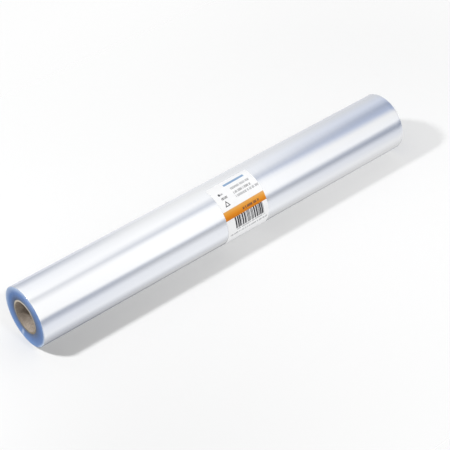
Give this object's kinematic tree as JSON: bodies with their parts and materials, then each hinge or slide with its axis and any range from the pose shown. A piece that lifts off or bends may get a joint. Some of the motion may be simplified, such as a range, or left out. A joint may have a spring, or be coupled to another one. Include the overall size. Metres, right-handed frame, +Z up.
{
  "type": "roll of book covering film",
  "caption": "Clear covering film wound on a paperboard core tube, its free edge held by a wrapped paper label with an orange band.",
  "frame": {"origin": "centre of the bottom end, on the core's axis", "axes": "+Z up along the roll, -Y out through the middle of the label, +X to the right of it"},
  "size_m": [0.0552, 0.0554, 0.4],
  "materials": {
    "paperboard": "matte",
    "wound_film": "gloss",
    "label_paper": "satin"
  },
  "bodies": {
    "root": {"core_tube": "paperboard", "film_roll": "wound_film", "label": "label_paper"}
  },
  "joints": []
}
